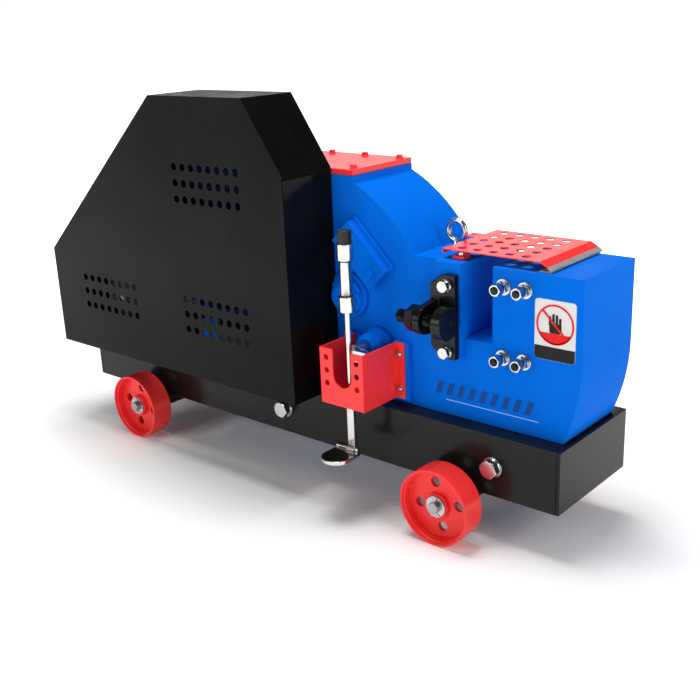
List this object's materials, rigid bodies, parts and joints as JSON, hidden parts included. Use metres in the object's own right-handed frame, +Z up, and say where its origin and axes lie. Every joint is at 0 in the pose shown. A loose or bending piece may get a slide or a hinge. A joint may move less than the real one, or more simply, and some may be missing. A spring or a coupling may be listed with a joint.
{
  "type": "rebar cutter",
  "caption": "Belt-driven rebar cutter: geared housing with a cutting slot and ram blade, belt guard, clutch lever and pedal, on a channel frame with wheels.",
  "frame": {"origin": "on the floor under the middle of the machine's bounding box", "axes": "+X towards the cutting head, +Y from the belt guard's side towards the motor's side, +Z up"},
  "size_m": [1.2346, 0.463, 0.746],
  "materials": {
    "black_paint": "gloss",
    "blue_paint": "gloss",
    "red_paint": "gloss",
    "chrome": "polished",
    "steel": "machined",
    "blade_steel": "ground",
    "cast_iron": "black oxide",
    "rubber": "matte",
    "grey_steel": "satin",
    "motor_grey": "satin"
  },
  "bodies": {
    "machine": {"angle_bracket": "blue_paint", "belt_guard": "black_paint", "blade_stud_1": "chrome", "blade_stud_2": "chrome", "blade_stud_3": "chrome", "blade_stud_4": "chrome", "clutch_boss": "blue_paint", "crank_bearing_cap": "blue_paint", "drive_belt": "rubber", "eye_bolt": "chrome", "fixed_blade": "blade_steel", "front_left_frame_bolt": "chrome", "front_rail": "black_paint", "front_rest_lug": "red_paint", "front_right_frame_bolt": "chrome", "gear_housing": "blue_paint", "guard_hinge_leaf": "grey_steel", "left_axle": "steel", "left_axle_carrier": "black_paint", "left_end_plate": "black_paint", "lever_guide": "red_paint", "motor_base_plate": "black_paint", "motor_body": "motor_grey", "motor_fan_cover": "motor_grey", "motor_terminal_box": "motor_grey", "rear_bearing_cover": "blue_paint", "rear_left_frame_bolt": "chrome", "rear_rail": "black_paint", "rear_rest_lug": "red_paint", "rear_right_frame_bolt": "chrome", "right_axle": "steel", "right_axle_carrier": "black_paint", "right_end_plate": "black_paint", "stop_bolt_lower": "chrome", "stop_bolt_upper": "chrome", "stop_bracket": "cast_iron", "top_cover": "red_paint"},
    "front_left_wheel": {"front_left_wheel": "red_paint"},
    "front_right_wheel": {"front_right_wheel": "red_paint"},
    "rear_left_wheel": {"rear_left_wheel": "red_paint"},
    "rear_right_wheel": {"rear_right_wheel": "red_paint"},
    "flywheel": {"flywheel_pulley": "blue_paint", "input_shaft": "steel"},
    "motor_rotor": {"motor_pulley": "cast_iron", "motor_shaft": "steel"},
    "intermediate": {"intermediate_shaft": "steel", "intermediate_gear": "cast_iron"},
    "crank": {"crankshaft": "steel", "crank_gear": "cast_iron"},
    "rod": {"connecting_rod": "cast_iron"},
    "ram": {"ram": "blade_steel", "moving_blade": "blade_steel"},
    "lever": {"lever_rod": "chrome", "lever_grip": "chrome", "lever_knob": "rubber"},
    "clutch": {"clutch_shaft": "steel"},
    "pedal": {"pedal": "chrome"},
    "stop_screw": {"stop_screw": "cast_iron"},
    "stop_nut": {"stop_nut": "cast_iron"},
    "blade_guard": {"blade_guard": "red_paint"}
  },
  "joints": [
    {"name": "front_left_roll", "type": "hinge", "parent": "machine", "child": "front_left_wheel", "pos_m": [-0.40925, -0.1615, 0.07], "axis": [0, 1, 0], "continuous": true},
    {"name": "front_right_roll", "type": "hinge", "parent": "machine", "child": "front_right_wheel", "pos_m": [0.40175, -0.1615, 0.07], "axis": [0, 1, 0], "continuous": true},
    {"name": "rear_left_roll", "type": "hinge", "parent": "machine", "child": "rear_left_wheel", "pos_m": [-0.40925, 0.1685, 0.07], "axis": [0, 1, 0], "continuous": true},
    {"name": "rear_right_roll", "type": "hinge", "parent": "machine", "child": "rear_right_wheel", "pos_m": [0.40175, 0.1685, 0.07], "axis": [0, 1, 0], "continuous": true},
    {"name": "flywheel_spin", "type": "hinge", "parent": "machine", "child": "flywheel", "pos_m": [-0.09925, -0.0465, 0.507], "axis": [0, 1, 0], "continuous": true},
    {"name": "motor_spin", "type": "hinge", "parent": "machine", "child": "motor_rotor", "pos_m": [-0.41725, -0.0955, 0.325], "axis": [0, 1, 0], "continuous": true},
    {"name": "intermediate_spin", "type": "hinge", "parent": "machine", "child": "intermediate", "pos_m": [-0.0219, 0.0065, 0.35562], "axis": [0, 1, 0], "continuous": true},
    {"name": "crank_spin", "type": "hinge", "parent": "machine", "child": "crank", "pos_m": [0.14275, 0.0065, 0.389], "axis": [0, 1, 0], "continuous": true},
    {"name": "rod_swing", "type": "hinge", "parent": "crank", "child": "rod", "pos_m": [0.12275, 0.0065, 0.389], "axis": [0, 1, 0], "continuous": true},
    {"name": "ram_stroke", "type": "slide", "parent": "machine", "child": "ram", "axis": [1, 0, 0], "range_m": [0, 0.04]},
    {"name": "lever_press", "type": "slide", "parent": "machine", "child": "lever", "axis": [0, 0, 1], "range_m": [-0.013, 0], "stiffness_N_per_m": 1500, "springref_m": 0.02},
    {"name": "clutch_turn", "type": "hinge", "parent": "machine", "child": "clutch", "pos_m": [0.21325, -0.1095, 0.305], "axis": [0, 1, 0], "range_deg": [0, 30]},
    {"name": "pedal_fold", "type": "hinge", "parent": "lever", "child": "pedal", "pos_m": [0.21325, -0.1675, 0.126], "axis": [-1, 0, 0], "range_deg": [0, 65]},
    {"name": "stop_adjust", "type": "slide", "parent": "machine", "child": "stop_screw", "axis": [1, 0, 0], "range_m": [-0.01, 0.012]},
    {"name": "stop_nut_turn", "type": "hinge", "parent": "machine", "child": "stop_nut", "pos_m": [0.33625, -0.1375, 0.387], "axis": [1, 0, 0], "continuous": true},
    {"name": "blade_guard_lift", "type": "hinge", "parent": "machine", "child": "blade_guard", "pos_m": [0.55325, 0.0105, 0.4818], "axis": [0, 1, 0], "range_deg": [0, 100]}
  ],
  "couplings": [
    {"joint": "motor_spin", "follows": "flywheel_spin", "ratio": 3.6},
    {"joint": "intermediate_spin", "follows": "flywheel_spin", "ratio": -0.30769},
    {"joint": "crank_spin", "follows": "flywheel_spin", "ratio": 0.11257},
    {"joint": "rod_swing", "follows": "flywheel_spin", "ratio": -0.11257},
    {"joint": "clutch_turn", "follows": "lever_press", "rad_per_m": -40.277}
  ]
}
